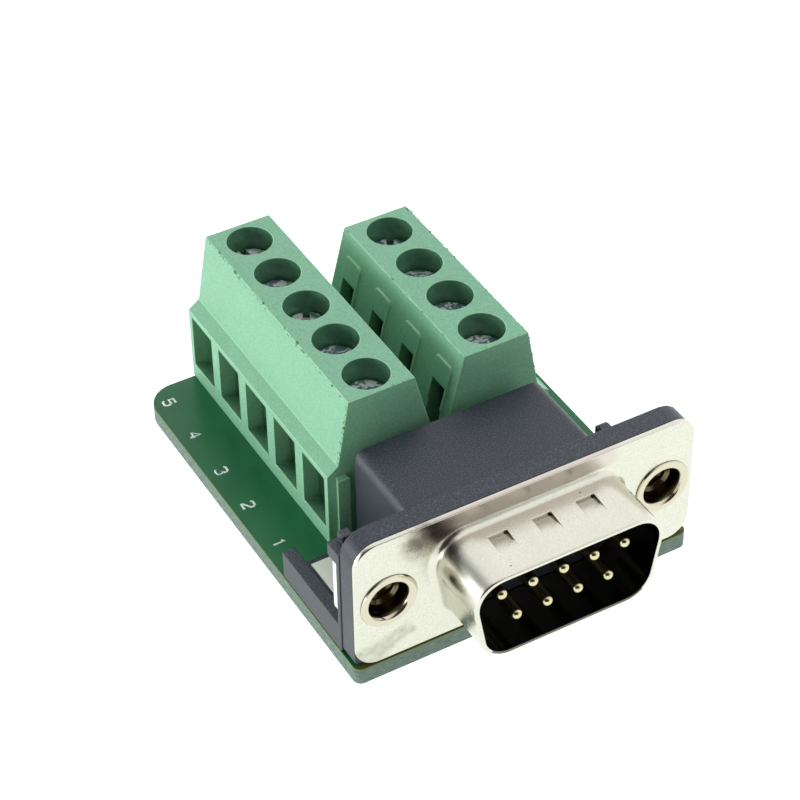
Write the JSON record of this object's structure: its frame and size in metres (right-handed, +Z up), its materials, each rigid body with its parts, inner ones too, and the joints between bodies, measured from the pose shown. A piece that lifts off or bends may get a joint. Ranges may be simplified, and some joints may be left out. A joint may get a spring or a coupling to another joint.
{
  "type": "d-sub terminal block adapter",
  "caption": "Small circuit board that joins a male D-shaped plug with a metal shell to two rows of green screw-clamp wire terminals.",
  "frame": {"origin": "bottom centre of the whole part, level with the ends of its solder tails and midway between the plug's rim and the rear end of the longer terminal block", "axes": "+Y from the plug towards the rear of the board, +Z up from the board towards the screw heads, +X to the right seen from the plug's face"},
  "size_m": [0.0308, 0.0444, 0.0174],
  "materials": {
    "solder_mask": "green solder mask on glass-epoxy laminate, glossy with fine specks",
    "nickel_plate": "nickel-plated drawn steel, warm silver, with a light smear on the flange",
    "black_plastic": "glass-filled black thermoplastic, satin, slightly dusty",
    "gold_plate": "gold-plated brass, bright",
    "tin_plate": "tin-plated brass sheet, bright",
    "green_plastic": "light green moulded polyamide, matt, with small nicks and a flash line",
    "zinc_plate": "zinc-plated steel, bright and wet-looking",
    "tinned_brass": "tin-plated brass stamping, satin"
  },
  "bodies": {
    "base": {"board_lock_left": "tin_plate", "board_lock_right": "tin_plate", "circuit_board": "solder_mask", "contact_carrier": "black_plastic", "contact_pin_1": "gold_plate", "contact_pin_2": "gold_plate", "contact_pin_3": "gold_plate", "contact_pin_4": "gold_plate", "contact_pin_5": "gold_plate", "contact_pin_6": "gold_plate", "contact_pin_7": "gold_plate", "contact_pin_8": "gold_plate", "contact_pin_9": "gold_plate", "d_sub_shell": "nickel_plate", "jack_nut_left": "nickel_plate", "jack_nut_right": "nickel_plate", "rear_cover": "black_plastic", "terminal_housing_4way": "green_plastic", "terminal_housing_5way": "green_plastic", "terminal_pin_1": "tinned_brass", "terminal_pin_2": "tinned_brass", "terminal_pin_3": "tinned_brass", "terminal_pin_4": "tinned_brass", "terminal_pin_5": "tinned_brass", "terminal_pin_6": "tinned_brass", "terminal_pin_7": "tinned_brass", "terminal_pin_8": "tinned_brass", "terminal_pin_9": "tinned_brass"},
    "screw_1": {"clamp_screw_1": "zinc_plate"},
    "cage_1": {"wire_cage_1": "tinned_brass"},
    "screw_2": {"clamp_screw_2": "zinc_plate"},
    "cage_2": {"wire_cage_2": "tinned_brass"},
    "screw_3": {"clamp_screw_3": "zinc_plate"},
    "cage_3": {"wire_cage_3": "tinned_brass"},
    "screw_4": {"clamp_screw_4": "zinc_plate"},
    "cage_4": {"wire_cage_4": "tinned_brass"},
    "screw_5": {"clamp_screw_5": "zinc_plate"},
    "cage_5": {"wire_cage_5": "tinned_brass"},
    "screw_6": {"clamp_screw_6": "zinc_plate"},
    "cage_6": {"wire_cage_6": "tinned_brass"},
    "screw_7": {"clamp_screw_7": "zinc_plate"},
    "cage_7": {"wire_cage_7": "tinned_brass"},
    "screw_8": {"clamp_screw_8": "zinc_plate"},
    "cage_8": {"wire_cage_8": "tinned_brass"},
    "screw_9": {"clamp_screw_9": "zinc_plate"},
    "cage_9": {"wire_cage_9": "tinned_brass"}
  },
  "joints": [
    {"name": "screw_turn_1", "type": "hinge", "parent": "base", "child": "screw_1", "pos_m": [-0.00539, -0.00025, 0.0135], "axis": [0, 0, 1], "range_deg": [-2001, 0]},
    {"name": "cage_rise_1", "type": "slide", "parent": "base", "child": "cage_1", "axis": [0, 0, 1], "range_m": [0, 0.0025]},
    {"name": "screw_turn_2", "type": "hinge", "parent": "base", "child": "screw_2", "pos_m": [-0.00539, 0.00475, 0.0135], "axis": [0, 0, 1], "range_deg": [-2001, 0]},
    {"name": "cage_rise_2", "type": "slide", "parent": "base", "child": "cage_2", "axis": [0, 0, 1], "range_m": [0, 0.0025]},
    {"name": "screw_turn_3", "type": "hinge", "parent": "base", "child": "screw_3", "pos_m": [-0.00539, 0.00975, 0.0135], "axis": [0, 0, 1], "range_deg": [-2001, 0]},
    {"name": "cage_rise_3", "type": "slide", "parent": "base", "child": "cage_3", "axis": [0, 0, 1], "range_m": [0, 0.0025]},
    {"name": "screw_turn_4", "type": "hinge", "parent": "base", "child": "screw_4", "pos_m": [-0.00539, 0.01475, 0.0135], "axis": [0, 0, 1], "range_deg": [-2001, 0]},
    {"name": "cage_rise_4", "type": "slide", "parent": "base", "child": "cage_4", "axis": [0, 0, 1], "range_m": [0, 0.0025]},
    {"name": "screw_turn_5", "type": "hinge", "parent": "base", "child": "screw_5", "pos_m": [-0.00539, 0.01975, 0.0135], "axis": [0, 0, 1], "range_deg": [-2001, 0]},
    {"name": "cage_rise_5", "type": "slide", "parent": "base", "child": "cage_5", "axis": [0, 0, 1], "range_m": [0, 0.0025]},
    {"name": "screw_turn_6", "type": "hinge", "parent": "base", "child": "screw_6", "pos_m": [0.00539, -0.0001, 0.0135], "axis": [0, 0, 1], "range_deg": [-2001, 0]},
    {"name": "cage_rise_6", "type": "slide", "parent": "base", "child": "cage_6", "axis": [0, 0, 1], "range_m": [0, 0.0025]},
    {"name": "screw_turn_7", "type": "hinge", "parent": "base", "child": "screw_7", "pos_m": [0.00539, 0.0049, 0.0135], "axis": [0, 0, 1], "range_deg": [-2001, 0]},
    {"name": "cage_rise_7", "type": "slide", "parent": "base", "child": "cage_7", "axis": [0, 0, 1], "range_m": [0, 0.0025]},
    {"name": "screw_turn_8", "type": "hinge", "parent": "base", "child": "screw_8", "pos_m": [0.00539, 0.0099, 0.0135], "axis": [0, 0, 1], "range_deg": [-2001, 0]},
    {"name": "cage_rise_8", "type": "slide", "parent": "base", "child": "cage_8", "axis": [0, 0, 1], "range_m": [0, 0.0025]},
    {"name": "screw_turn_9", "type": "hinge", "parent": "base", "child": "screw_9", "pos_m": [0.00539, 0.0149, 0.0135], "axis": [0, 0, 1], "range_deg": [-2001, 0]},
    {"name": "cage_rise_9", "type": "slide", "parent": "base", "child": "cage_9", "axis": [0, 0, 1], "range_m": [0, 0.0025]}
  ],
  "couplings": [
    {"joint": "screw_turn_1", "follows": "cage_rise_1", "rad_per_m": -13963},
    {"joint": "screw_turn_2", "follows": "cage_rise_2", "rad_per_m": -13963},
    {"joint": "screw_turn_3", "follows": "cage_rise_3", "rad_per_m": -13963},
    {"joint": "screw_turn_4", "follows": "cage_rise_4", "rad_per_m": -13963},
    {"joint": "screw_turn_5", "follows": "cage_rise_5", "rad_per_m": -13963},
    {"joint": "screw_turn_6", "follows": "cage_rise_6", "rad_per_m": -13963},
    {"joint": "screw_turn_7", "follows": "cage_rise_7", "rad_per_m": -13963},
    {"joint": "screw_turn_8", "follows": "cage_rise_8", "rad_per_m": -13963},
    {"joint": "screw_turn_9", "follows": "cage_rise_9", "rad_per_m": -13963}
  ]
}
